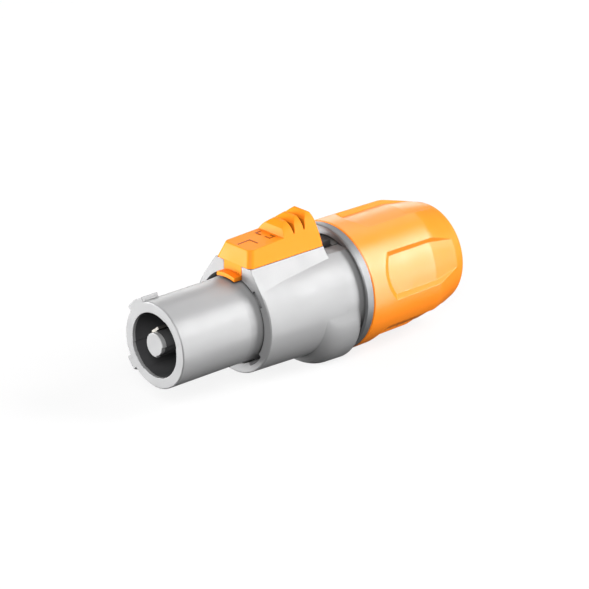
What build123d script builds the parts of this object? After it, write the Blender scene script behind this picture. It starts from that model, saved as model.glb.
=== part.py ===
from build123d import *
import os
from math import acos, atan2, cos, degrees, hypot, radians, sin, tan

# Lengths are in millimetres. +X runs from the nose to the cable end and +Z towards the latch.
# The origin is the centre of the nose's front face. An angle round the axis starts at -Y and
# grows towards +Z, so 90 degrees is the latch side.

# General clearances, and how far a cutter runs past what it cuts
slide_gap = 0.10
seat_gap = 0.05
past = 1.0
wide = 40.0
# How near to a station an edge counts as lying on it
station_match = 0.01

# Nose shell: the grey tube that goes into the socket
nose_radius = 9.65
nose_length = 22.2
nose_root_radius = 9.85
root_flare_start = 19.0
shell_body_start = 25.0
shell_body_radius = 10.05
rim_edge = 0.2
mouth_radius = 7.31
mouth_lip = 0.8
liner_wall = 1.0
flange_start = 41.0
flange_length = 3.0

# Bayonet lugs as (first angle, last angle, tip radius, front, back)
lugs = [(112.4, 143.3, 10.65, 0.0, 4.4), (-150.0, -130.0, 10.60, 1.0, 4.8)]
# Locating key on the shell, and the shallow slots in the wall of the mouth
key_angles = (30.2, 50.3)
key_radius = 10.85
key_start = 22.7
key_end = 36.0
wall_slots = [(12.8, 61.3), (-168.5, -118.8)]
wall_slot_radius = 7.5

# Contact carrier: liner, post and terminal block in one black moulding
cavity_floor = 17.0
post_radius = 2.74
post_channel = (-79.0, 4.0)
post_channel_radius = 2.3
post_channel_end = 14.0
cap_front = 0.1
cap_thickness = 1.1
cap_peg_radius = 1.4
cap_peg_length = 5.0
cap_edge = 0.12
carrier_end = 43.8

# Contacts: flat strips with a bent foot
strip_thickness = 0.6
wall_contact_radius = 7.4
wall_contact_front = 12.0
wall_contact_width = 4.2
earth_contact_radius = 2.8
earth_contact_front = 1.8
earth_contact_width = 2.6
line_angle = 37.0
neutral_angle = -143.0
earth_angle = 127.0

# Screw terminals
cage_front = 32.8
cage_length = 10.0
cage_size = 4.6
cage_wall = 0.8
cage_centre_radius = 5.3
cage_edge = 0.25
clamp_thickness = 0.6
clamp_length = 3.6
screw_radius = 1.25
screw_head_radius = 1.6
screw_head_height = 1.3
screw_head_gap = 0.25
screw_head_edge = 0.2
screw_slot_width = 0.5
screw_slot_depth = 0.6
screw_station = 38.5

# Housing
housing_front = nose_length
housing_front_radius = 12.4
housing_rear_radius = 13.16
shoulder_end = 49.6
housing_bore = 10.15
thread_radius = 12.1
thread_depth = 0.4
neck_overrun = 0.5
neck_edge = 0.6
front_edge = 0.25

# Keyways in the housing's front bore as (first angle, last angle, radius)
keyways = [(29.5, 51.0, 10.95), (-60.0, -35.0, 11.0), (113.5, 143.8, 10.8), (-151.0, -129.0, 10.8)]

# Latch pad on top of the housing, and the flat behind it
pad_half_width = 5.8
pad_height = 12.9
pad_end = 43.4
rear_flat_height = 11.1
rear_flat_half_width = 8.0

# Foot under the rear of the housing
foot_start = 37.9
foot_knee = 43.6
foot_end = 48.1
foot_drop = 3.25
foot_inset = 0.05
foot_flat = 15.3
foot_stations = 5

# Latch
latch_half_width = 5.7
latch_front_lean = 1.2
latch_front_top = 16.5
latch_side_lean = 0.37
latch_corner_round = 1.4
latch_edge_round = 0.3
latch_gap = 0.07
neck_half_width = 2.85
neck_length = 13.8
neck_under_radius = 10.25
tongue_length = 2.1
tongue_top_radius = 11.15
hook_start = 29.0
hook_half_width = 3.5
hook_top = 10.8

# Ribs of the thumb grip in x and z: foot, top of the wall, front and rear of the crest
grip_ribs = [
    ((33.3, 16.95), (33.95, 18.6), (35.3, 19.5), (36.0, 19.65)),
    ((36.5, 17.2), (37.15, 18.9), (38.4, 20.0), (39.0, 20.15)),
    ((39.5, 17.4), (40.15, 19.2), (41.3, 20.45), (41.8, 20.6)),
]
grip_slot_bottoms = [(36.2, 17.1), (39.2, 17.3)]
grip_rear_top = (42.3, 20.3)
grip_rear_middle = (43.1, 16.6)
latch_rear = 43.3
# Round crown over the ribs, which climbs to the rear
crown_start = (33.0, 19.35)
crown_end = (45.0, 21.65)

# Latch spring and the keeper behind it
spring_wire = 0.35
spring_radius = 0.95
spring_turns = 5
spring_centre = 11.95
keeper_start = 43.95
keeper_end = 48.2
keeper_top = 12.5
keeper_flat_gap = 0.05

# Collar ring: metal rim and threaded sleeve of the bushing
ring_front = 48.4
ring_back = 50.4
ring_clearance = 0.94
ring_rim = 0.64
ring_edge = 0.25
sleeve_wall = 0.65

# Bushing: the orange grip sleeve. Its rear stations count forward from its end.
ring_inset = 0.16
grip_taper = 0.25
grip_end = 84.0
grip_end_length = 2.8
grip_end_radius = 8.4
grip_cone_length = 9.8
grip_cone_radius = 11.7
grip_front_round = 0.3
grip_shoulder_softness = 0.8
grip_end_round = 1.6
entry_radius = 6.6
entry_length = 6.0
chamber_length = 8.0
chamber_cone_length = 8.8
chamber_end_radius = 9.0
chamber_end_length = 1.2

# Grip recesses, each with a sloped front wall that arches forward
recess_count = 5
recess_depth = 1.3
recess_margin = 4.4
recess_arch = 2.6
recess_front_slope = 1.5
recess_cone_depth = 3.9
recess_bend_margin = 0.6
recess_end_margin = 2.7
recess_edge_angle = 22.0
recess_floor_angle = 18.5

# Chuck: the slotted collet that grips the cable
chuck_front_gap = 0.15
chuck_bore = 7.9
chuck_jaw_bore = 7.1
chuck_jaw_length = 11.1
chuck_cone_gap = 0.25
chuck_slots = 6
chuck_slot_width = 1.3
chuck_slot_length = 15.6
chuck_teeth = 4
chuck_tooth_pitch = 2.2
chuck_tooth_height = 0.5
chuck_key_half_width = 3.4
chuck_key_length = 10.5

# Cable seal between the chuck and the end of the bushing
seal_bore = 7.0
seal_length = 4.2
seal_lip = 0.9
seal_face_gap = 0.15

# Radii worked out from those above
rear_bore = key_radius + seat_gap
flange_radius = rear_bore - slide_gap
chuck_radius = rear_bore - slide_gap
neck_radius = thread_radius - thread_depth
sleeve_bore = thread_radius + slide_gap
sleeve_radius = sleeve_bore + sleeve_wall
chamber_radius = thread_radius + slide_gap
ring_counterbore = housing_rear_radius + ring_clearance
ring_radius = ring_counterbore + ring_rim
grip_front_radius = ring_radius + ring_inset
grip_shoulder_radius = grip_front_radius - grip_taper

# Stations worked out from those above
grip_cone_end = grip_end - grip_end_length
grip_shoulder = grip_cone_end - grip_cone_length
recess_front = ring_back + recess_margin
recess_bend = grip_shoulder - recess_bend_margin
recess_end = grip_cone_end - recess_end_margin
seal_end = grip_end - entry_length - seat_gap
chuck_end = seal_end - seal_length - seal_face_gap
chuck_jaw_start = chuck_end - chuck_jaw_length
chuck_slot_start = chuck_end - chuck_slot_length
chamber_cone_end = grip_end - entry_length - chamber_end_length
chamber_cone_start = chamber_cone_end - chamber_cone_length
sleeve_end = chamber_cone_start - chamber_length
neck_end = sleeve_end + neck_overrun


def around(radius, angle, x=0.0):
    """Point at a radius and an angle round the axis."""
    return Vector(x, -radius * cos(radians(angle)), radius * sin(radians(angle)))


def turned(points):
    """Solid of revolution about X from (x, radius) points."""
    outline = make_face(Polyline(*[(x, radius) for x, radius in points], close=True))
    return revolve(outline, axis=Axis.X)


def tube(start, end, outer, inner):
    """Plain ring between two stations."""
    return turned([(start, inner), (end, inner), (end, outer), (start, outer)])


def rod(start, end, radius):
    """Plain cylinder on the axis."""
    return Pos(start, 0, 0) * Rot(0, 90, 0) * Cylinder(
        radius, end - start, align=(Align.CENTER, Align.CENTER, Align.MIN)
    )


def sector(start, end, first, last, inner, outer):
    """Part of a ring between two angles."""
    middle = radians((first + last) / 2)
    half = radians((last - first) / 2)
    side = 2 * outer / cos(half)
    corners = [(0, 0), (side * cos(half), -side * sin(half)), (side * cos(half), side * sin(half))]
    wedge = extrude(Plane.YZ * make_face(Polyline(*corners, close=True)), amount=end - start)
    wedge = Pos(start, 0, 0) * Rot(180 - degrees(middle), 0, 0) * wedge
    return tube(start, end, outer, inner) & wedge


def block(x_range, y_range, z_range):
    """Box between two corners."""
    sizes = [high - low for low, high in (x_range, y_range, z_range)]
    return Pos(x_range[0], y_range[0], z_range[0]) * Box(
        *sizes, align=(Align.MIN, Align.MIN, Align.MIN)
    )


def at_angle(shape, angle):
    """Turns a shape modelled with its radius along +Z to an angle round the axis."""
    return Rot(90 - angle, 0, 0) * shape


def housing_radius(x):
    """Outer radius of the tapered housing at a station."""
    share = (x - housing_front) / (shoulder_end - housing_front)
    return housing_front_radius + share * (housing_rear_radius - housing_front_radius)


def chamber_cone_radius(x):
    """Radius of the cone inside the bushing that closes the chuck."""
    share = (x - chamber_cone_start) / (chamber_cone_end - chamber_cone_start)
    return chamber_radius + share * (chamber_end_radius - chamber_radius)


def grip_radius(x):
    """Outer radius of the bushing's rear cone."""
    share = (x - grip_shoulder) / (grip_cone_end - grip_shoulder)
    return grip_shoulder_radius + share * (grip_cone_radius - grip_shoulder_radius)


def latch_pad():
    """Raised pad with straight flanks that run tangent into the round housing."""
    corner_angle = degrees(atan2(pad_height, pad_half_width))
    touch_radius = housing_front_radius - seat_gap
    touch_angle = corner_angle - degrees(acos(touch_radius / hypot(pad_half_width, pad_height)))
    touch = around(touch_radius, touch_angle)
    outline = [
        (-pad_half_width, pad_height), (pad_half_width, pad_height),
        (-touch.Y, touch.Z), (0, 0), (touch.Y, touch.Z),
    ]
    face = make_face(Polyline(*outline, close=True))
    return Pos(housing_front, 0, 0) * extrude(Plane.YZ * face, amount=pad_end - housing_front)


def foot_section(x):
    """Round-bottomed section of the foot, which drops along a parabola behind its front."""
    share = max(0.0, (foot_knee - x) / (foot_knee - foot_start))
    drop = foot_drop * (1 - share ** 2)
    radius = housing_radius(x) - foot_inset
    sides = Polyline((-radius, -drop), (-radius, past), (radius, past), (radius, -drop))
    bottom = ThreePointArc((radius, -drop), (0, -drop - radius), (-radius, -drop))
    return Plane.YZ.offset(x) * make_face([*sides.edges(), bottom])


def foot():
    """Foot under the rear of the housing, with a flat that stops it rolling."""
    step = (foot_knee - foot_start) / (foot_stations - 1)
    ramp = loft([foot_section(foot_start + step * i) for i in range(foot_stations)])
    heel = loft([foot_section(foot_knee), foot_section(foot_end)], ruled=True)
    floor = block((foot_start - past, foot_end + past), (-wide, wide), (-wide, -foot_flat))
    return ramp + heel - floor


def make_housing():
    body = turned([
        (housing_front, 0), (housing_front, housing_front_radius - front_edge),
        (housing_front + front_edge, housing_radius(housing_front + front_edge)),
        (shoulder_end, housing_rear_radius), (shoulder_end, neck_radius),
        (neck_end - neck_edge, neck_radius), (neck_end, neck_radius - neck_edge), (neck_end, 0),
    ])
    body += latch_pad()
    body += foot()
    body -= block((pad_end, shoulder_end), (-rear_flat_half_width, rear_flat_half_width),
                  (rear_flat_height, wide))
    body -= rod(housing_front - past, neck_end + past, housing_bore)
    body -= rod(flange_start, neck_end + past, rear_bore)
    for first, last, radius in keyways:
        body -= sector(housing_front - past, flange_start, first, last, 0, radius)
    slot = neck_half_width + slide_gap
    hook_slot = hook_half_width + slide_gap
    body -= block((housing_front - past, pad_end + past), (-slot, slot), (0, wide))
    body -= block((hook_start - slide_gap, pad_end + past), (-hook_slot, hook_slot),
                  (0, hook_top + slide_gap))
    body -= block((pad_end, neck_end + past), (-hook_slot, hook_slot), (0, wide))
    return body


def make_nose_shell():
    liner_radius = mouth_radius + liner_wall + seat_gap
    flange_front = flange_start + seat_gap
    shell = turned([
        (0, mouth_radius), (mouth_lip, mouth_radius), (mouth_lip, liner_radius),
        (flange_start + flange_length, liner_radius), (flange_start + flange_length, flange_radius),
        (flange_front, flange_radius), (flange_front, shell_body_radius),
        (shell_body_start, shell_body_radius), (shell_body_start, nose_root_radius),
        (nose_length, nose_root_radius), (root_flare_start, nose_radius),
        (rim_edge, nose_radius), (0, nose_radius - rim_edge),
    ])
    for first, last, radius, front, back in lugs:
        shell += sector(front, back, first, last, mouth_radius + liner_wall + slide_gap, radius)
    shell += sector(key_start, key_end, *key_angles, nose_radius, key_radius)
    for first, last in wall_slots:
        shell -= sector(-past, mouth_lip + past, first, last, 0, wall_slot_radius)
    for angle in (line_angle, neutral_angle, earth_angle):
        shell -= at_angle(screw_way(0), angle)
    return shell


def screw_way(start):
    """Round way for a screw and its driver from a radius outwards."""
    return Pos(screw_station, 0, start) * Cylinder(
        screw_head_radius + slide_gap, wide, align=(Align.CENTER, Align.CENTER, Align.MIN)
    )


def strip_run(radius, front, width, grow):
    """Straight run of a contact strip, grown by a clearance when it is a slot."""
    return block((front - grow, cage_front), (-width / 2 - grow, width / 2 + grow),
                 (radius - grow, radius + strip_thickness + grow))


def strip_foot(inner, outer, width, grow):
    """Bent foot of a contact, flat against the front of its terminal cage."""
    return block((cage_front - strip_thickness - grow, cage_front), (-width / 2 - grow, width / 2 + grow),
                 (inner - grow, outer + grow))


def wall_contact(grow=0.0):
    run = strip_run(wall_contact_radius, wall_contact_front, wall_contact_width, grow)
    end = strip_foot(cage_centre_radius - cage_size / 2 + cage_wall, wall_contact_radius,
                     wall_contact_width, grow)
    return run + end


def post_contact(grow=0.0):
    run = strip_run(earth_contact_radius, earth_contact_front, earth_contact_width, grow)
    end = strip_foot(earth_contact_radius, cage_centre_radius + screw_radius, earth_contact_width, grow)
    return run + end


def cage_envelope(grow):
    half = cage_size / 2 + grow
    return block((cage_front - grow, carrier_end + past), (-half, half),
                 (cage_centre_radius - half, cage_centre_radius + half))


def make_carrier():
    outer = mouth_radius + liner_wall
    front = mouth_lip + seat_gap
    post_front = cap_front + cap_thickness
    body = rod(front, carrier_end, outer)
    body -= rod(front - past, cavity_floor, mouth_radius)
    body += rod(post_front, cavity_floor + past, post_radius)
    body -= sector(post_front - past, post_channel_end, *post_channel, post_channel_radius,
                   post_radius + past)
    body -= rod(post_front - past, post_front + cap_peg_length, cap_peg_radius + seat_gap)
    for first, last in wall_slots:
        body -= sector(front - past, wall_contact_front, first, last, mouth_radius - past,
                       wall_slot_radius)
    for angle, contact in ((line_angle, wall_contact), (neutral_angle, wall_contact),
                           (earth_angle, post_contact)):
        body -= at_angle(contact(seat_gap), angle)
        body -= at_angle(cage_envelope(seat_gap), angle)
        body -= at_angle(screw_way(cage_centre_radius), angle)
    return body


def make_post_cap():
    cap = rod(cap_front, cap_front + cap_thickness - seat_gap, post_radius)
    cap = chamfer(cap.faces().sort_by(Axis.X)[0].edges(), cap_edge)
    cap += rod(cap_front + cap_edge, cap_front + cap_thickness + cap_peg_length - seat_gap, cap_peg_radius)
    return cap - sector(cap_front - past, cap_front + cap_thickness + past, *post_channel,
                        post_channel_radius, post_radius + past)


def make_cage():
    """Square brass cage with a wire way from the rear and a threaded hole on top."""
    half = cage_size / 2
    inner = half - cage_wall
    cage = block((cage_front, cage_front + cage_length), (-half, half),
                 (cage_centre_radius - half, cage_centre_radius + half))
    cage -= block((cage_front + cage_wall, cage_front + cage_length + past), (-inner, inner),
                  (cage_centre_radius - inner, cage_centre_radius + inner))
    hole = Pos(screw_station, 0, cage_centre_radius) * Cylinder(
        screw_radius + seat_gap, cage_size, align=(Align.CENTER, Align.CENTER, Align.MIN)
    )
    return chamfer((cage - hole).edges().group_by(Axis.X)[-1].filter_by(Axis.Y), cage_edge)


def make_clamp():
    """Pressure plate under the screw."""
    inner = cage_size / 2 - cage_wall - slide_gap
    top = cage_centre_radius + inner
    plate = block((screw_station - clamp_length / 2, screw_station + clamp_length / 2), (-inner, inner),
                  (top - clamp_thickness, top))
    return chamfer(plate.edges().group_by(Axis.Z)[0].filter_by(Axis.Y), clamp_thickness / 3)


def make_screw():
    tip = cage_centre_radius + cage_size / 2 - cage_wall - slide_gap
    head = cage_centre_radius + cage_size / 2 + screw_head_gap
    shank = Pos(screw_station, 0, tip) * Cylinder(
        screw_radius, head - tip, align=(Align.CENTER, Align.CENTER, Align.MIN)
    )
    cap = Pos(screw_station, 0, head) * Cylinder(
        screw_head_radius, screw_head_height, align=(Align.CENTER, Align.CENTER, Align.MIN)
    )
    cap = chamfer(cap.edges().group_by(Axis.Z)[-1], screw_head_edge)
    top = head + screw_head_height
    for turn in (0, 90):
        cap -= Pos(screw_station, 0, top) * Rot(0, 0, turn) * Box(
            2 * screw_radius, screw_slot_width, 2 * screw_slot_depth
        )
    return shank + cap


def latch_side_profile():
    """Side view of the latch block with the ribs of its thumb grip."""
    bottom = pad_height + latch_gap
    points = [(latch_rear, bottom), (housing_front, bottom),
              (housing_front + latch_front_lean, latch_front_top)]
    for index, rib in enumerate(grip_ribs):
        points += rib
        if index < len(grip_slot_bottoms):
            points.append(grip_slot_bottoms[index])
    points.append(grip_rear_top)
    rear = ThreePointArc(grip_rear_top, grip_rear_middle, (latch_rear, bottom))
    return make_face([*Polyline(*points).edges(), rear])


def latch_section(x, top):
    """Section with leaning sides that run tangent into a round top."""
    bottom = pad_height + latch_gap
    tilt = hypot(1, latch_side_lean)
    centre = (top * tilt - latch_half_width - latch_side_lean * bottom) / (tilt - latch_side_lean)
    radius = top - centre
    touch_y, touch_z = radius / tilt, centre + radius * latch_side_lean / tilt
    sides = Polyline((-touch_y, touch_z), (-latch_half_width, bottom), (latch_half_width, bottom),
                     (touch_y, touch_z))
    crown = ThreePointArc((touch_y, touch_z), (0, top), (-touch_y, touch_z))
    return Plane.YZ.offset(x) * make_face([*sides.edges(), crown])


def latch_front():
    """Front of the latch block, with rounded corners and a softened rim round its top."""
    bottom, end = pad_height + latch_gap, grip_ribs[0][0][0]
    narrow = latch_half_width - latch_side_lean * (crown_end[1] - bottom)
    section = make_face(Polyline((-narrow, crown_end[1]), (-latch_half_width, bottom),
                                 (latch_half_width, bottom), (narrow, crown_end[1]), close=True))
    front = extrude(Plane.YZ.offset(housing_front) * section, amount=end - housing_front)
    front &= extrude(Plane.XZ * latch_side_profile(), amount=2 * latch_half_width, both=True)
    corner_reach = housing_front + latch_front_lean + seat_gap
    corners = [edge for edge in front.edges()
               if edge.bounding_box().max.X < corner_reach and abs(edge.center().Y) > neck_half_width]
    front = fillet(corners, latch_corner_round)
    rim = [edge for edge in front.edges()
           if edge.center().X < end - seat_gap and edge.bounding_box().min.Z > latch_front_top - seat_gap]
    return fillet(rim, latch_edge_round)


def latch_ribs():
    """Ribs of the thumb grip, cut from a bar with a round crown that climbs to the rear."""
    bar = loft([latch_section(*crown_start), latch_section(*crown_end)], ruled=True)
    bar &= block((grip_ribs[0][0][0], crown_end[0]), (-wide, wide), (0, wide))
    return bar & extrude(Plane.XZ * latch_side_profile(), amount=2 * latch_half_width, both=True)


def make_latch():
    bottom = pad_height + latch_gap
    neck_end_x = housing_front + neck_length
    neck = block((housing_front, neck_end_x), (-neck_half_width, neck_half_width), (0, bottom + seat_gap))
    hooks = block((hook_start, neck_end_x), (-hook_half_width, hook_half_width), (0, hook_top))
    tongue_front = housing_front - tongue_length
    tongue = rod(tongue_front, housing_front + past, tongue_top_radius)
    tongue &= block((tongue_front, housing_front + past), (-neck_half_width, neck_half_width), (0, wide))
    under = rod(tongue_front - past, neck_end_x + past, neck_under_radius)
    return latch_front() + latch_ribs() + (neck + hooks + tongue - under)


def make_spring():
    """Compression spring between the latch's neck and the keeper."""
    start = housing_front + neck_length + spring_wire / 2 + seat_gap
    length = keeper_start - start - spring_wire / 2 - seat_gap
    path = Helix(pitch=length / spring_turns, height=length, radius=spring_radius - spring_wire / 2)
    profile = Plane(origin=path @ 0, z_dir=path % 0) * Circle(spring_wire / 2)
    coil = sweep(profile, path=path)
    return Pos(start, 0, spring_centre) * Rot(0, 90, 0) * coil


def make_keeper():
    """Plug that fills the slot behind the latch and takes the spring."""
    post = block((keeper_start, keeper_end), (-neck_half_width, neck_half_width), (0, keeper_top))
    base = block((keeper_start, keeper_end), (-hook_half_width, hook_half_width),
                 (0, rear_flat_height - keeper_flat_gap))
    return post + base - rod(keeper_start - past, keeper_end + past, rear_bore + seat_gap)


def make_collar_ring():
    counterbore_floor = shoulder_end + slide_gap
    return turned([
        (ring_front, ring_counterbore), (counterbore_floor, ring_counterbore),
        (counterbore_floor, sleeve_bore), (sleeve_end, sleeve_bore), (sleeve_end, sleeve_radius),
        (ring_back, sleeve_radius), (ring_back, ring_radius),
        (ring_front + ring_edge, ring_radius), (ring_front, ring_radius - ring_edge),
    ])


def recess_tool():
    """One grip recess at the top, with an arched front wall, a round floor and sloped sides."""
    floor = grip_front_radius - recess_depth
    outer = grip_front_radius + past
    ring = turned([
        (recess_front - past, outer), (recess_front - past, floor), (recess_bend, floor),
        (recess_end, grip_radius(recess_end)), (recess_end + past, outer),
    ])
    edge, inner = radians(recess_edge_angle), radians(recess_floor_angle)
    across = grip_front_radius * sin(edge) - floor * sin(inner)
    up = grip_front_radius * cos(edge) - floor * cos(inner)
    root = floor * cos(inner) - floor * sin(inner) * up / across
    half = (outer - root) * across / up
    wedge = make_face(Polyline((0, root), (half, outer), (-half, outer), close=True))
    return ring & extrude(Plane.YZ * wedge, amount=grip_end) & recess_front_cone(outer)


def recess_front_cone(top):
    """Cone that gives a recess its front wall, on a block that leaves the rest of it open."""
    edge = radians(recess_edge_angle)
    side = grip_front_radius * sin(edge)
    corner_shift = recess_front_slope * grip_front_radius * (1 - cos(edge))
    radius = (recess_arch ** 2 + side ** 2 - corner_shift ** 2) / (2 * (recess_arch - corner_shift))
    centre = recess_front + radius
    bottom = grip_front_radius - recess_cone_depth
    cone = Pos(centre, 0, bottom) * Cone(
        radius - recess_front_slope * (grip_front_radius - bottom),
        radius + recess_front_slope * (top - grip_front_radius),
        top - bottom, align=(Align.CENTER, Align.CENTER, Align.MIN)
    )
    return cone + block((centre, centre + grip_end), (-side, side), (bottom, top))


def circles_at(shape, x):
    """Round edges of a shape at a station."""
    round_edges = shape.edges().filter_by(GeomType.CIRCLE)
    return [edge for edge in round_edges if abs(edge.center().X - x) < station_match]


def make_bushing():
    front = ring_back + seat_gap
    outer = turned([
        (front, 0), (front, grip_front_radius - grip_front_round),
        (front + grip_front_round, grip_front_radius), (grip_shoulder, grip_shoulder_radius),
        (grip_cone_end, grip_cone_radius), (grip_end, grip_end_radius), (grip_end, 0),
    ])
    outer = fillet(circles_at(outer, grip_cone_end) + circles_at(outer, grip_end), grip_end_round)
    cone_turn = atan2(grip_shoulder_radius - grip_cone_radius, grip_cone_end - grip_shoulder)
    shoulder_turn = cone_turn - atan2(grip_taper, grip_shoulder - front)
    shoulder_round = grip_shoulder_softness / tan(shoulder_turn / 2)
    outer = fillet(circles_at(outer, grip_shoulder), shoulder_round)
    tool = recess_tool()
    for index in range(recess_count):
        outer -= Rot(index * 360 / recess_count, 0, 0) * tool
    entry_start = grip_end - entry_length
    sleeve_seat = sleeve_radius + seat_gap
    inside = turned([
        (front - past, 0), (front - past, sleeve_seat), (sleeve_end + seat_gap, sleeve_seat),
        (sleeve_end + seat_gap, chamber_radius), (chamber_cone_start, chamber_radius),
        (chamber_cone_end, chamber_end_radius), (entry_start, chamber_end_radius),
        (entry_start, entry_radius), (grip_end + past, entry_radius), (grip_end + past, 0),
    ])
    return outer - inside


def make_chuck():
    """Collet with slotted jaws, inside teeth and a key that stops it turning in the housing."""
    start = flange_start + flange_length + chuck_front_gap
    cone_slope = (chamber_radius - chamber_end_radius) / (chamber_cone_end - chamber_cone_start)
    cone_offset = chuck_cone_gap * hypot(1, cone_slope)
    cone_start = chamber_cone_start + (chamber_radius - cone_offset - chuck_radius) / cone_slope
    end_radius = chamber_cone_radius(chuck_end) - cone_offset
    body = turned([
        (start, chuck_bore), (start, chuck_radius), (cone_start, chuck_radius),
        (chuck_end, end_radius), (chuck_end, chuck_jaw_bore), (chuck_jaw_start, chuck_jaw_bore),
        (chuck_jaw_start - (chuck_bore - chuck_jaw_bore), chuck_bore),
    ])
    for index in range(chuck_teeth):
        front = chuck_end - seat_gap - (index + 1) * chuck_tooth_pitch
        body += turned([
            (front, chuck_jaw_bore + seat_gap), (front + chuck_tooth_pitch, chuck_jaw_bore + seat_gap),
            (front + chuck_tooth_pitch / 2, chuck_jaw_bore - chuck_tooth_height),
        ])
    slot = block((chuck_slot_start, chuck_end + past), (-chuck_slot_width / 2, chuck_slot_width / 2),
                 (0, wide))
    for index in range(chuck_slots):
        body -= Rot((index + 0.5) * 360 / chuck_slots, 0, 0) * slot
    key_start = keeper_end + slide_gap
    key_end = key_start + chuck_key_length
    key = tube(key_start, key_end, neck_radius, (chuck_bore + chuck_radius) / 2)
    key &= block((key_start, key_end), (-chuck_key_half_width, chuck_key_half_width), (0, wide))
    return body + key


def make_seal():
    """Rubber ring that the bushing squeezes on to the cable."""
    front = seal_end - seal_length
    outer = chamber_end_radius - 2 * seat_gap
    return turned([
        (front, seal_bore), (front, outer - seal_lip), (front + seal_lip, outer), (seal_end, outer),
        (seal_end, seal_bore),
    ])


def make_parts():
    cage, clamp, screw = make_cage(), make_clamp(), make_screw()
    angles = {"line": line_angle, "neutral": neutral_angle, "earth": earth_angle}
    parts = {
        "housing": make_housing(),
        "nose_shell": make_nose_shell(),
        "contact_carrier": make_carrier(),
        "post_cap": make_post_cap(),
        "contact_line": at_angle(wall_contact(), line_angle),
        "contact_neutral": at_angle(wall_contact(), neutral_angle),
        "contact_earth": at_angle(post_contact(), earth_angle),
        "terminal_screws": Compound([at_angle(screw, angle).solid() for angle in angles.values()]),
        "latch": make_latch(),
        "latch_spring": make_spring(),
        "latch_spring_keeper": make_keeper(),
        "collar_ring": make_collar_ring(),
        "bushing": make_bushing(),
        "chuck": make_chuck(),
        "cable_seal": make_seal(),
    }
    for name, angle in angles.items():
        parts["terminal_cage_" + name] = at_angle(cage, angle)
        parts["wire_clamp_" + name] = at_angle(clamp, angle)
    return parts


os.makedirs("parts", exist_ok=True)
for node, shape in make_parts().items():
    export_step(shape, f"parts/{node}.step")
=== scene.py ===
import math

import bpy
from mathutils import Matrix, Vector


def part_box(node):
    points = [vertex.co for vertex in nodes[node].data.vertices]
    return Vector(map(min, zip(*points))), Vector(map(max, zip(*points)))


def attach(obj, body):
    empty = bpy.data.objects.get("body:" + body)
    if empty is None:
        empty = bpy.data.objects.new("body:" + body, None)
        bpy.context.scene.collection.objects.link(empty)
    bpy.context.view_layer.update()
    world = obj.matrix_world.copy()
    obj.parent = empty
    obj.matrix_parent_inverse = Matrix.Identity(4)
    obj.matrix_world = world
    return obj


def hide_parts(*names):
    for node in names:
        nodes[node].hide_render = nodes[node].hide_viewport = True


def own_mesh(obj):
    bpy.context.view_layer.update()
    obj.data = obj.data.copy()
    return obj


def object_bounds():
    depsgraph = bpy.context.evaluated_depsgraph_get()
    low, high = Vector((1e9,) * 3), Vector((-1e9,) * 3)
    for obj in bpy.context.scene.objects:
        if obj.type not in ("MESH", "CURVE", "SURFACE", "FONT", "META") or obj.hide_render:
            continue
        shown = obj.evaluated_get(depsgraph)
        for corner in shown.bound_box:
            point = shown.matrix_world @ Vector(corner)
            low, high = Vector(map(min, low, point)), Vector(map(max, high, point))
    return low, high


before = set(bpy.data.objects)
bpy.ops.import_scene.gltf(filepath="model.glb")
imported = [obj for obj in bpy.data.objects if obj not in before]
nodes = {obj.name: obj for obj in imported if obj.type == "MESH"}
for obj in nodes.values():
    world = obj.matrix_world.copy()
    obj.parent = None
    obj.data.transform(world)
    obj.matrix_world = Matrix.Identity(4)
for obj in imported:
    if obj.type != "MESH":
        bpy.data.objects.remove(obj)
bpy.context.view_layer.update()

# Camera: its place in metres, the direction in which it looks, then lens and sensor in millimetres
camera_place = Vector((-0.35391, -0.43469, 0.24240))
camera_look = Vector((0.6210, 0.6850, -0.3810))
camera_lens = 175.6
sensor_width = 36.0
camera_near = 0.01

# Edges: how far moulded and turned ones are rounded, in metres, and the widest angle that is shaded smooth
moulded_edge = 0.00018
turned_edge = 0.00012
edge_samples = 6
sharpest_smooth = math.radians(24)

# Painted shade: colour darkened in creases, grooves and between parts, where shade falls. How near a wall
# has to be, in metres, and how near between the thumb ribs, then how open a place is where the painted
# shade is deepest and where it ends, and what share of the colour the deepest keeps
painted_shade_reach = 0.0012
rib_painted_shade_reach = 0.003
painted_shade_openness = (0.25, 0.8)
painted_shade_darkest = 0.22
painted_shade_samples = 8

# Colours as linear red, green and blue
light_grey = (0.28, 0.28, 0.283)
orange = (0.95, 0.25, 0.012)
mark_orange = (0.36, 0.085, 0.005)
# Black of the contact carrier and the latch spring keeper: partly their plastic's colour, partly painted
# shade deep in the nose and behind the latch
black_and_painted_shade = (0.05, 0.05, 0.052)
nylon_grey = (0.17, 0.17, 0.165)
gunmetal = (0.2, 0.202, 0.207)
silver = (0.24, 0.23, 0.21)
brass = (0.72, 0.50, 0.20)
zinc = (0.58, 0.58, 0.57)
seal_black = (0.02, 0.02, 0.02)
floor_white = (0.16, 0.16, 0.16)
# White with its alpha, as a shader's socket takes it
white = (1, 1, 1, 1)

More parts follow.
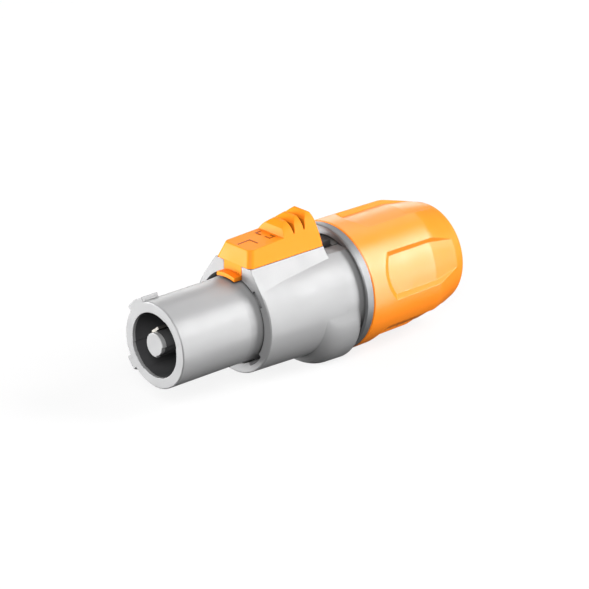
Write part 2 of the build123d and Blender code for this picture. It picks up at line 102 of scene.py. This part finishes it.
# Surfaces: noise as grains a metre and layers of detail, bump as strength and height in metres, tint as
# the share by which a colour drifts, drift as how far roughness moves down and up, bare as the share of
# the metal that its coat leaves open, and wander as the noise round the axis within a lathe's rings
noise_range = (0.3, 0.7)
plastic_ior = 1.5
plastic_flow, plastic_tint = (70, 4.0), 0.03
plastic_sheen, plastic_drift = (260, 5.0), (0.05, 0.05)
plastic_swell, plastic_swell_bump = (190, 2.0), (0.25, 0.00002)
plastic_grain, plastic_grain_bump = (9000, 2.0), (0.5, 0.000006)
turned_bare = 0.6
turned_stain, turned_tint = (300, 3.0), 0.10
turned_drift = (0.06, 0.08)
lathe_pitch, lathe_wander = 0.00012, 60
turned_ring_stretch = (1 / lathe_pitch, lathe_wander, lathe_wander)
turned_ring_detail = 2.0
turned_ring_bump = (0.25, 0.000008)
pressed_stain, pressed_tint = (400, 5.0), 0.12
pressed_sheen, pressed_drift = (1800, 4.0), (0.08, 0.08)
pressed_grain, pressed_bump = (5000, 3.0), (0.2, 0.00001)
rubber_gloss = 0.35
rubber_stain, rubber_tint = (500, 4.0), 0.2
rubber_sheen, rubber_drift = (900, 4.0), (0.08, 0.08)
rubber_grain, rubber_bump = (7000, 3.0), (0.5, 0.00001)

# Floor: width and its gap under the part, in metres, then its surface and its own light
floor_width = 6
floor_gap = 0.00003
floor_fibre, floor_tint = (40, 3.0), 0.01
floor_rough = 0.9
floor_gloss = 0.1
floor_glow = 0.80

# Marks on the flat top of the latch: two points of its slope in x and z, how wide the strokes are and
# how far they stand out and reach in, then their lines in x and y
mark_plane = [(0.0234, 0.0165), (0.0333, 0.01695)]
mark_width = 0.00042
mark_lift = 0.00004
mark_sink = 0.00015
mark_sharpest_mitre = 0.5
mark_lines = {
    "mark_corner": [(0.0242, 0.0006), (0.0276, 0.0006), (0.0276, -0.0021)],
    "mark_left_bracket": [(0.0325, 0.0025), (0.0311, 0.0025), (0.0311, 0.0009)],
    "mark_right_bracket": [(0.0312, -0.0004), (0.0312, -0.0019), (0.0325, -0.0019), (0.0325, -0.0006)],
}

# Lead-in in front of the lower bayonet lug: stations, root and tip radius, then the degrees round the
# X axis, from +Y up, at which it starts and, at each station, ends
lead_in_front, lead_in_rear = 0.00008, 0.001
lead_in_root, lead_in_tip = 0.0094, 0.0106
lead_in_first = 330
lead_in_front_last, lead_in_rear_last = 312.5, 310
lead_in_steps = 8

# Thread on the housing's neck, which shows when the grip is unscrewed: radii, half widths, pitch and
# first station, and half of the angle that the slot on top takes away
thread_root = 0.01165
thread_crest = 0.01206
thread_root_half = 0.00055
thread_crest_half = 0.00018
thread_pitch = 0.002
thread_start = 0.0502
thread_turns = 4
thread_steps = 60
thread_gap_half = math.radians(19)

# Latch spring, which shortens as the latch slides back: radius of its wire in metres, turns, and steps
# round each turn and sides round the wire
spring_wire_radius = 0.000175
spring_turns = 5
spring_steps = 40
spring_sides = 10

# Soft boxes, aimed at the part's middle: direction as degrees round the X axis from -Y up and degrees
# towards +X, then power in watts
part_middle = Vector((0.04, 0, 0))
light_distance = 1.0
light_size = 0.5
soft_boxes = {
    "key_low": (-15, 38, 3.6),
    "key_middle": (15, 38, 4.7),
    "key_high": (45, 38, 9.0),
    "left": (45, -40, 9.5),
    "far": (180, -40, 22.3),
    "top": (110, 38, 1.5),
    "back": (165, 38, 2.3),
}
# Room light from below, which stands for the floor's bounce, and from above, and the span of heights
# over which it changes from one to the other
room_light_low = 0.04
room_light_high = 0.08
room_light_span = (-0.3, 0.3)


def mesh_coordinates(tree):
    """Coordinates that stay with the piece when its body moves."""
    return tree.nodes.new("ShaderNodeTexCoord").outputs["Object"]


def noise(tree, grains, detail):
    """Noise with so many grains a metre: 1000 gives grains of about a millimetre."""
    node = tree.nodes.new("ShaderNodeTexNoise")
    node.inputs["Scale"].default_value = grains
    node.inputs["Detail"].default_value = detail
    tree.links.new(mesh_coordinates(tree), node.inputs["Vector"])
    return node.outputs["Fac"]


def lathe_rings(tree):
    """Noise drawn out into fine rings round the X axis."""
    stretch = tree.nodes.new("ShaderNodeMapping")
    stretch.inputs["Scale"].default_value = turned_ring_stretch
    rings = tree.nodes.new("ShaderNodeTexNoise")
    rings.inputs["Scale"].default_value = 1.0
    rings.inputs["Detail"].default_value = turned_ring_detail
    tree.links.new(mesh_coordinates(tree), stretch.inputs["Vector"])
    tree.links.new(stretch.outputs["Vector"], rings.inputs["Vector"])
    return rings.outputs["Fac"]


def remap(tree, value, low, high, source=noise_range):
    """Value moved from one range to another."""
    node = tree.nodes.new("ShaderNodeMapRange")
    node.inputs["From Min"].default_value = source[0]
    node.inputs["From Max"].default_value = source[1]
    node.inputs["To Min"].default_value = low
    node.inputs["To Max"].default_value = high
    tree.links.new(value, node.inputs["Value"])
    return node.outputs["Result"]


def roughness(tree, value, middle, drift):
    """Roughness that drifts down and up from its middle with a value."""
    return remap(tree, value, middle - drift[0], middle + drift[1])


def tinted(tree, value, colour, spread):
    """Colour that drifts a little darker and lighter with a value."""
    node = tree.nodes.new("ShaderNodeValToRGB")
    dark, light = node.color_ramp.elements
    dark.color = (*[channel * (1 - spread) for channel in colour], 1)
    light.color = (*[min(1.0, channel * (1 + spread)) for channel in colour], 1)
    dark.position, light.position = noise_range
    tree.links.new(value, node.inputs["Fac"])
    return node.outputs["Color"]


def painted_crease_shade(tree, colour, reach):
    """Colour darkened by painted shade in grooves, narrow gaps and between parts, where shade falls."""
    shade = tree.nodes.new("ShaderNodeAmbientOcclusion")
    shade.samples = painted_shade_samples
    shade.inputs["Distance"].default_value = reach
    kept = remap(tree, shade.outputs["AO"], painted_shade_darkest, 1.0, source=painted_shade_openness)
    scale = tree.nodes.new("ShaderNodeVectorMath")
    scale.operation = "SCALE"
    tree.links.new(colour, scale.inputs[0])
    tree.links.new(kept, scale.inputs["Scale"])
    return scale.outputs["Vector"]


def bump(tree, value, strength, height, before=None):
    """Bump of a height in metres, on top of another one if that is given."""
    node = tree.nodes.new("ShaderNodeBump")
    node.inputs["Strength"].default_value = strength
    node.inputs["Distance"].default_value = height
    tree.links.new(value, node.inputs["Height"])
    if before is not None:
        tree.links.new(before, node.inputs["Normal"])
    return node.outputs["Normal"]


def soft_edges(tree, radius):
    """Normal that rounds the sharp edges of a piece by a radius in metres."""
    node = tree.nodes.new("ShaderNodeBevel")
    node.samples = edge_samples
    node.inputs["Radius"].default_value = radius
    return node.outputs["Normal"]


def new_material(name):
    """Empty material, its node tree and its shader."""
    material = bpy.data.materials.new(name)
    material.use_nodes = True
    return material, material.node_tree, material.node_tree.nodes["Principled BSDF"]


def moulded_plastic(name, colour, rough, gloss=0.5, reach=painted_shade_reach):
    """Injection-moulded plastic: fine spark-eroded grain, faint flow variation, uneven sheen, and painted
    shade in creases.
    """
    material, tree, shader = new_material(name)
    shader.inputs["IOR"].default_value = plastic_ior
    shader.inputs["Specular IOR Level"].default_value = gloss
    flow = tinted(tree, noise(tree, *plastic_flow), colour, plastic_tint)
    # Base colour with painted shade in grooves and gaps
    tree.links.new(painted_crease_shade(tree, flow, reach), shader.inputs["Base Color"])
    sheen = roughness(tree, noise(tree, *plastic_sheen), rough, plastic_drift)
    tree.links.new(sheen, shader.inputs["Roughness"])
    edges = soft_edges(tree, moulded_edge)
    swell = bump(tree, noise(tree, *plastic_swell), *plastic_swell_bump, before=edges)
    grain = bump(tree, noise(tree, *plastic_grain), *plastic_grain_bump, before=swell)
    tree.links.new(grain, shader.inputs["Normal"])
    return material


def turned_metal(name, colour, rough):
    """Metal under a thin dull coat, with the fine rings of a lathe tool round the X axis."""
    material, tree, shader = new_material(name)
    shader.inputs["Metallic"].default_value = turned_bare
    stain = tinted(tree, noise(tree, *turned_stain), colour, turned_tint)
    tree.links.new(stain, shader.inputs["Base Color"])
    rings = lathe_rings(tree)
    tree.links.new(roughness(tree, rings, rough, turned_drift), shader.inputs["Roughness"])
    edges = soft_edges(tree, turned_edge)
    tree.links.new(bump(tree, rings, *turned_ring_bump, before=edges), shader.inputs["Normal"])
    return material


def pressed_metal(name, colour, rough):
    """Plated strip or wire with faint drawing marks."""
    material, tree, shader = new_material(name)
    shader.inputs["Metallic"].default_value = 1.0
    stain = tinted(tree, noise(tree, *pressed_stain), colour, pressed_tint)
    tree.links.new(stain, shader.inputs["Base Color"])
    sheen = roughness(tree, noise(tree, *pressed_sheen), rough, pressed_drift)
    tree.links.new(sheen, shader.inputs["Roughness"])
    grain = bump(tree, noise(tree, *pressed_grain), *pressed_bump)
    tree.links.new(grain, shader.inputs["Normal"])
    return material


def rubber(name, colour, rough):
    """Matt rubber with a fine open grain."""
    material, tree, shader = new_material(name)
    shader.inputs["Specular IOR Level"].default_value = rubber_gloss
    stain = tinted(tree, noise(tree, *rubber_stain), colour, rubber_tint)
    tree.links.new(stain, shader.inputs["Base Color"])
    sheen = roughness(tree, noise(tree, *rubber_sheen), rough, rubber_drift)
    tree.links.new(sheen, shader.inputs["Roughness"])
    grain = bump(tree, noise(tree, *rubber_grain), *rubber_bump)
    tree.links.new(grain, shader.inputs["Normal"])
    return material


def floor_paper(name):
    """Pale paper with light of its own, so that it stays nearly white behind the part."""
    material, tree, shader = new_material(name)
    fibre = tinted(tree, noise(tree, *floor_fibre), floor_white, floor_tint)
    tree.links.new(fibre, shader.inputs["Base Color"])
    shader.inputs["Roughness"].default_value = floor_rough
    shader.inputs["Specular IOR Level"].default_value = floor_gloss
    shader.inputs["Emission Color"].default_value = white
    shader.inputs["Emission Strength"].default_value = floor_glow
    return material


def dress(material, *names):
    """Gives CAD nodes their finish."""
    for name in names:
        nodes[name].data.materials.clear()
        nodes[name].data.materials.append(material)


def dress_nodes(grey, steel):
    """Gives every CAD node its finish. Grey and steel are shared with pieces that are added."""
    dress(grey, "housing", "nose_shell", "post_cap")
    dress(moulded_plastic("orange_moulding", orange, rough=0.36, gloss=0.62), "bushing")
    # On the latch the painted shade reaches further, into the grooves between the thumb ribs
    dress(moulded_plastic("latch_moulding", orange, rough=0.48, gloss=0.1, reach=rib_painted_shade_reach), "latch")
    # Carrier and keeper in black, which also stands for the shade deep in the nose and behind the latch
    dress(moulded_plastic("black_and_shade_moulding", black_and_painted_shade, rough=0.48),
          "contact_carrier", "latch_spring_keeper")
    dress(moulded_plastic("nylon", nylon_grey, rough=0.45), "chuck")
    dress(turned_metal("collar_metal", gunmetal, rough=0.46), "collar_ring")
    dress(pressed_metal("silver_plate", silver, rough=0.50),
          "contact_line", "contact_neutral", "contact_earth")
    dress(pressed_metal("brass", brass, rough=0.30),
          "terminal_cage_line", "terminal_cage_neutral", "terminal_cage_earth")
    dress(steel, "wire_clamp_line", "wire_clamp_neutral", "wire_clamp_earth",
          "terminal_screws", "latch_spring")
    dress(rubber("seal_rubber", seal_black, rough=0.70), "cable_seal")


def smooth(piece):
    """Smooth shading on round faces, with edges kept."""
    for polygon in piece.data.polygons:
        polygon.use_smooth = True
    piece.modifiers.new("edges", "EDGE_SPLIT").split_angle = sharpest_smooth


def lofted(rings):
    """Points and faces of a closed bar through rings that have the same number of points."""
    count = len(rings[0])
    points = [point for ring in rings for point in ring]
    faces = []
    for row in range(len(rings) - 1):
        for step in range(count):
            here, beside = row * count + step, row * count + (step + 1) % count
            faces.append((here, beside, beside + count, here + count))
    last = (len(rings) - 1) * count
    faces.append(tuple(reversed(range(count))))
    faces.append(tuple(range(last, last + count)))
    return points, faces


def bar(name, rings, material, body):
    """Closed bar through rings in metres, which rides on a body."""
    points, faces = lofted(rings)
    mesh = bpy.data.meshes.new(name)
    mesh.from_pydata([tuple(point) for point in points], [], faces)
    mesh.update()
    mesh.materials.append(material)
    piece = bpy.data.objects.new(name, mesh)
    bpy.context.scene.collection.objects.link(piece)
    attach(piece, body)
    return piece


def round_x(station, radius, angle):
    """Point at an angle round the X axis, counted from +Y up."""
    return (station, radius * math.cos(angle), radius * math.sin(angle))


def latch_top(x):
    """Height of the latch's flat top at a station, in metres."""
    share = (x - mark_plane[0][0]) / (mark_plane[1][0] - mark_plane[0][0])
    return mark_plane[0][1] + share * (mark_plane[1][1] - mark_plane[0][1])


def mark_side(before, after):
    """Half of a stroke's width as a vector across it, longer at a mitred corner."""
    runs = [run for run in (before, after) if run is not None]
    along = sum(runs, Vector((0, 0))).normalized()
    narrowing = max(mark_sharpest_mitre, abs(along.dot(runs[0])))
    return Vector((-along.y, along.x)) * (mark_width / 2 / narrowing)


def add_mark(name, line, material):
    """Thin stroke along a line on the latch's top."""
    line = [Vector(point) for point in line]
    rings = []
    for index, point in enumerate(line):
        before = (point - line[index - 1]).normalized() if index else None
        after = (line[index + 1] - point).normalized() if index < len(line) - 1 else None
        side = mark_side(before, after)
        near, far = point - side, point + side
        corners = ((near, -mark_sink), (far, -mark_sink), (far, mark_lift), (near, mark_lift))
        rings.append([(place.x, place.y, latch_top(place.x) + lift) for place, lift in corners])
    bar(name, rings, material, "latch")


def add_latch_marks():
    """Plain strokes on the latch's flat top."""
    material = moulded_plastic("mark_moulding", mark_orange, rough=0.5, gloss=0.1)
    for name, line in mark_lines.items():
        add_mark(name, line, material)


def lead_in_ring(station, last):
    """Section of the lug's lead-in: along its tip, then back along its root."""
    angles = [math.radians(lead_in_first + (last - lead_in_first) * step / lead_in_steps)
              for step in range(lead_in_steps + 1)]
    tip = [round_x(station, lead_in_tip, angle) for angle in angles]
    root = [round_x(station, lead_in_root, angle) for angle in reversed(angles)]
    return tip + root


def add_lug_lead_in(material):
    """Front of the lower bayonet lug, which starts at the nose's rim."""
    rings = [lead_in_ring(lead_in_rear, lead_in_rear_last),
             lead_in_ring(lead_in_front, lead_in_front_last)]
    smooth(bar("lower_lug_lead_in", rings, material, "root"))


def thread_ring(angle, station):
    """Section of the thread ridge at an angle round the axis."""
    outline = [(-thread_root_half, thread_root), (-thread_crest_half, thread_crest),
               (thread_crest_half, thread_crest), (thread_root_half, thread_root)]
    return [round_x(station + shift, radius, angle) for shift, radius in outline]


def add_neck_thread(material):
    """Right-hand thread on the housing's neck, broken at the slot on top."""
    first = math.pi / 2 + thread_gap_half
    last = math.pi / 2 + math.tau - thread_gap_half
    for turn in range(thread_turns):
        rings = []
        for step in range(thread_steps + 1):
            angle = first + (last - first) * step / thread_steps
            rings.append(thread_ring(angle, thread_start + thread_pitch * (turn + angle / math.tau)))
        smooth(bar(f"neck_thread_{turn + 1}", rings, material, "root"))


def spring_rings(low, high):
    """Sections of the coil's wire between two corners of the spring's box."""
    coil_radius = (high[2] - low[2]) / 2 - spring_wire_radius
    height = (low[2] + high[2]) / 2
    front, rear = low[0] + spring_wire_radius, high[0] - spring_wire_radius
    climb = (rear - front) / (math.tau * spring_turns)
    corners = [math.tau * corner / spring_sides for corner in range(spring_sides)]
    rings = []
    for step in range(spring_turns * spring_steps + 1):
        angle = math.tau * step / spring_steps
        outward = Vector((0, math.cos(angle), math.sin(angle)))
        centre = Vector((front + climb * angle, 0, height)) + coil_radius * outward
        along = Vector((climb, -coil_radius * math.sin(angle), coil_radius * math.cos(angle)))
        across = along.normalized().cross(outward)
        rings.append([centre + spring_wire_radius * (math.cos(corner) * outward + math.sin(corner) * across)
                      for corner in corners])
    return rings


def add_spring(material):
    """Coil in the place of the CAD spring, pressed against the keeper by the latch's travel."""
    low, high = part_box("latch_spring")
    coil = bar("latch_spring_coil", spring_rings(low, high), material, "root")
    smooth(coil)
    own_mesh(coil)
    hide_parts("latch_spring")


def add_floor():
    """Floor just under the part, which isn't reflected in it and throws no light or shadow on it."""
    place = (part_middle.x, part_middle.y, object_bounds()[0][2] - floor_gap)
    bpy.ops.mesh.primitive_plane_add(size=floor_width, location=place)
    floor = bpy.context.object
    floor.name = "floor"
    floor.data.materials.append(floor_paper("floor_paper"))
    floor.visible_diffuse = False
    floor.visible_glossy = False
    floor.visible_shadow = False


def soft_box(name, around, along, power):
    """Square lamp that faces the part from a direction."""
    light = bpy.data.lights.new(name, "AREA")
    light.size = light_size
    light.energy = power
    lamp = bpy.data.objects.new(name, light)
    around, along = math.radians(around), math.radians(along)
    side = math.cos(along)
    direction = Vector((math.sin(along), -side * math.cos(around), side * math.sin(around)))
    lamp.location = part_middle + light_distance * direction
    lamp.rotation_euler = (-direction).to_track_quat("-Z", "Y").to_euler()
    bpy.context.scene.collection.objects.link(lamp)


def room_light():
    """World whose light fades from below to above the horizon."""
    world = bpy.data.worlds.new("studio")
    world.use_nodes = True
    tree = world.node_tree
    background = tree.nodes["Background"]
    background.inputs["Color"].default_value = white
    direction = tree.nodes.new("ShaderNodeSeparateXYZ")
    tree.links.new(tree.nodes.new("ShaderNodeTexCoord").outputs["Generated"], direction.inputs["Vector"])
    strength = remap(tree, direction.outputs["Z"], room_light_low, room_light_high, source=room_light_span)
    tree.links.new(strength, background.inputs["Strength"])
    bpy.context.scene.world = world


def light_scene():
    """Soft boxes and room light, shown without a film look."""
    for name, values in soft_boxes.items():
        soft_box(name, *values)
    room_light()
    bpy.context.scene.view_settings.view_transform = "Standard"


def add_camera():
    """Camera at the photograph's viewing angle."""
    data = bpy.data.cameras.new("camera")
    data.lens = camera_lens
    data.sensor_width = sensor_width
    data.clip_start = camera_near
    camera = bpy.data.objects.new("camera", data)
    camera.location = camera_place
    camera.rotation_euler = camera_look.to_track_quat("-Z", "Y").to_euler()
    bpy.context.scene.collection.objects.link(camera)
    bpy.context.scene.camera = camera


for node in nodes.values():
    smooth(node)
grey_moulding = moulded_plastic("grey_moulding", light_grey, rough=0.36)
zinc_steel = pressed_metal("zinc_steel", zinc, rough=0.32)
dress_nodes(grey_moulding, zinc_steel)
add_neck_thread(grey_moulding)
add_lug_lead_in(grey_moulding)
add_spring(zinc_steel)
add_latch_marks()
add_floor()
light_scene()
add_camera()
